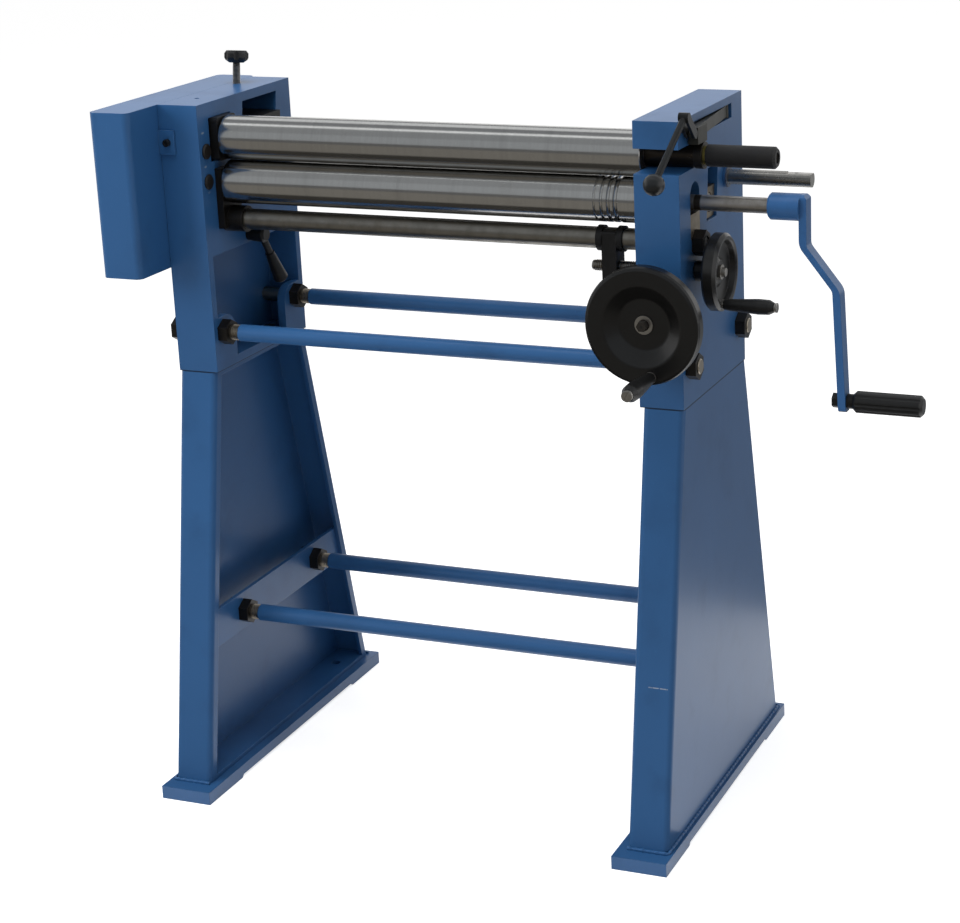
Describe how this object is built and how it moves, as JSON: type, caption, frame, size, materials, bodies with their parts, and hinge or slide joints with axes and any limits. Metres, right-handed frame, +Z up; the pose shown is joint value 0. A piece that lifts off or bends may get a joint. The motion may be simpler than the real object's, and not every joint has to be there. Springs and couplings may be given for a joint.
{
  "type": "slip roll machine",
  "caption": "Hand-cranked slip roll with three steel rolls between blue heads on a tapered floor stand, hinged upper roll and wire grooves.",
  "frame": {"origin": "on the floor in the middle of the four anchor holes", "axes": "+X along the rolls towards the crank, +Y to the rear, +Z up"},
  "size_m": [1.097, 0.5463, 1.0105],
  "materials": {
    "blue": "satin",
    "roll_steel": "ground",
    "steel": "machined",
    "black_steel": "black oxide",
    "crank_paint": "satin",
    "black_plastic": "satin",
    "brass": "turned"
  },
  "bodies": {
    "frame": {"right_head": "blue", "left_head": "blue", "right_stand": "blue", "left_stand": "blue", "right_foot": "blue", "left_foot": "blue", "right_crossbar": "blue", "left_crossbar": "blue", "upper_front_tie_rod": "blue", "upper_rear_tie_rod": "blue", "lower_front_tie_rod": "blue", "lower_rear_tie_rod": "blue", "tie_rod_nuts": "black_steel", "head_bolts": "black_steel", "gear_cover": "blue", "cover_screws": "steel", "cap_plugs": "black_plastic", "left_guide_plate": "black_steel", "right_guide_plate": "steel", "shaft_end_bush": "black_steel", "latch_hinge_pin": "steel", "drive_boss": "blue"},
    "lower_wheel": {"small_wheel": "black_steel", "small_wheel_screw": "steel", "small_grip_pin": "steel"},
    "lower_wheel_grip": {"small_wheel_grip": "black_plastic"},
    "wedge_shaft": {"cross_shaft": "steel", "shaft_nut_bar": "black_steel", "shaft_collars": "black_steel"},
    "lower_bearings": {"left_lower_block": "steel", "right_lower_block": "steel"},
    "lower_roll_set": {"lower_roll": "roll_steel", "lower_gear": "steel", "reduction_gear": "steel", "crank_arm": "crank_paint", "crank_bolt": "steel"},
    "crank_grip": {"crank_grip": "black_plastic"},
    "swivel": {"swivel_block": "black_steel", "swivel_pins": "steel"},
    "upper_roll_set": {"upper_roll": "roll_steel", "upper_gear": "steel", "roll_collar": "black_steel", "roll_ring": "brass"},
    "upper_grip": {"roll_grip": "black_plastic"},
    "drive": {"drive_shaft": "steel", "drive_pinion": "steel"},
    "rear_wheel": {"big_wheel": "black_steel", "big_wheel_screw": "steel", "big_wheel_bolt": "steel", "big_grip_pin": "steel"},
    "rear_wheel_grip": {"big_wheel_grip": "black_plastic"},
    "lifting_wedge": {"rear_wedge": "steel"},
    "rear_bearings": {"left_rear_slide": "black_steel", "right_rear_slide": "steel"},
    "rear_roll": {"rear_roll": "roll_steel"},
    "star_knob": {"star_knob": "black_plastic"},
    "clamp_lever": {"clamp_lever": "black_steel"},
    "latch": {"latch_bar": "black_steel"},
    "latch_handle": {"latch_lever": "steel", "latch_ball": "black_plastic"}
  },
  "joints": [
    {"name": "lower_wheel_turn", "type": "hinge", "parent": "frame", "child": "lower_wheel", "pos_m": [0.392, -0.069, 0.763], "axis": [1, 0, 0], "range_deg": [0, 1080]},
    {"name": "lower_wheel_grip_spin", "type": "hinge", "parent": "lower_wheel", "child": "lower_wheel_grip", "pos_m": [0.44, -0.0882, 0.72564], "axis": [1, 0, 0], "continuous": true},
    {"name": "wedge_shaft_slide", "type": "slide", "parent": "frame", "child": "wedge_shaft", "axis": [-1, 0, 0], "range_m": [0, 0.012]},
    {"name": "lower_roll_lift", "type": "slide", "parent": "frame", "child": "lower_bearings", "axis": [0, 0, -1], "range_m": [0, 0.003]},
    {"name": "lower_roll_turn", "type": "hinge", "parent": "lower_bearings", "child": "lower_roll_set", "pos_m": [0, -0.069, 0.8514], "axis": [1, 0, 0], "continuous": true},
    {"name": "crank_grip_spin", "type": "hinge", "parent": "lower_roll_set", "child": "crank_grip", "pos_m": [0.62, -0.069, 0.605], "axis": [1, 0, 0], "continuous": true},
    {"name": "upper_roll_swing", "type": "hinge", "parent": "frame", "child": "swivel", "pos_m": [-0.343, -0.069, 0.912], "axis": [0, 0, -1], "range_deg": [0, 7]},
    {"name": "upper_roll_turn", "type": "hinge", "parent": "swivel", "child": "upper_roll_set", "pos_m": [0, -0.069, 0.912], "axis": [1, 0, 0], "continuous": true},
    {"name": "upper_grip_spin", "type": "hinge", "parent": "upper_roll_set", "child": "upper_grip", "pos_m": [0.43, -0.069, 0.912], "axis": [1, 0, 0], "continuous": true},
    {"name": "drive_shaft_turn", "type": "hinge", "parent": "frame", "child": "drive", "pos_m": [0, 0.05563, 0.861], "axis": [1, 0, 0], "continuous": true},
    {"name": "rear_wheel_turn", "type": "hinge", "parent": "frame", "child": "rear_wheel", "pos_m": [0.338, -0.17, 0.717], "axis": [0, 1, 0], "range_deg": [0, 1980]},
    {"name": "rear_wheel_grip_spin", "type": "hinge", "parent": "rear_wheel", "child": "rear_wheel_grip", "pos_m": [0.34929, -0.23, 0.65299], "axis": [0, 1, 0], "continuous": true},
    {"name": "lifting_wedge_slide", "type": "slide", "parent": "frame", "child": "lifting_wedge", "axis": [0, -1, 0], "range_m": [0, 0.044]},
    {"name": "rear_roll_lift", "type": "slide", "parent": "frame", "child": "rear_bearings", "axis": [0, 0.1392, 0.9903], "range_m": [0, 0.0239]},
    {"name": "rear_roll_turn", "type": "hinge", "parent": "rear_bearings", "child": "rear_roll", "pos_m": [0, -0.002, 0.838], "axis": [1, 0, 0], "continuous": true},
    {"name": "star_knob_turn", "type": "hinge", "parent": "frame", "child": "star_knob", "pos_m": [-0.358, 0.0635, 0.963], "axis": [0, -0.1392, -0.9903], "range_deg": [0, 1722]},
    {"name": "clamp_lever_turn", "type": "hinge", "parent": "frame", "child": "clamp_lever", "pos_m": [-0.3, -0.015, 0.766], "axis": [1, 0, 0], "range_deg": [-25, 25]},
    {"name": "latch_swing", "type": "hinge", "parent": "frame", "child": "latch", "pos_m": [0.362, 0.076, 0.944], "axis": [0, 0, 1], "range_deg": [0, 35]},
    {"name": "latch_handle_lift", "type": "hinge", "parent": "latch", "child": "latch_handle", "pos_m": [0.3784, -0.102, 0.944], "axis": [-1, 0, 0], "range_deg": [0, 45]}
  ],
  "couplings": [
    {"joint": "lower_wheel_turn", "follows": "wedge_shaft_slide", "rad_per_m": 1570.8},
    {"joint": "lower_roll_lift", "follows": "wedge_shaft_slide", "ratio": 0.25},
    {"joint": "upper_roll_turn", "follows": "lower_roll_turn", "ratio": -1},
    {"joint": "drive_shaft_turn", "follows": "lower_roll_turn", "ratio": -4},
    {"joint": "lifting_wedge_slide", "follows": "rear_wheel_turn", "m_per_rad": 0.0012732},
    {"joint": "rear_roll_lift", "follows": "rear_wheel_turn", "m_per_rad": 0.00069146},
    {"joint": "star_knob_turn", "follows": "rear_wheel_turn", "ratio": 0.86892}
  ]
}
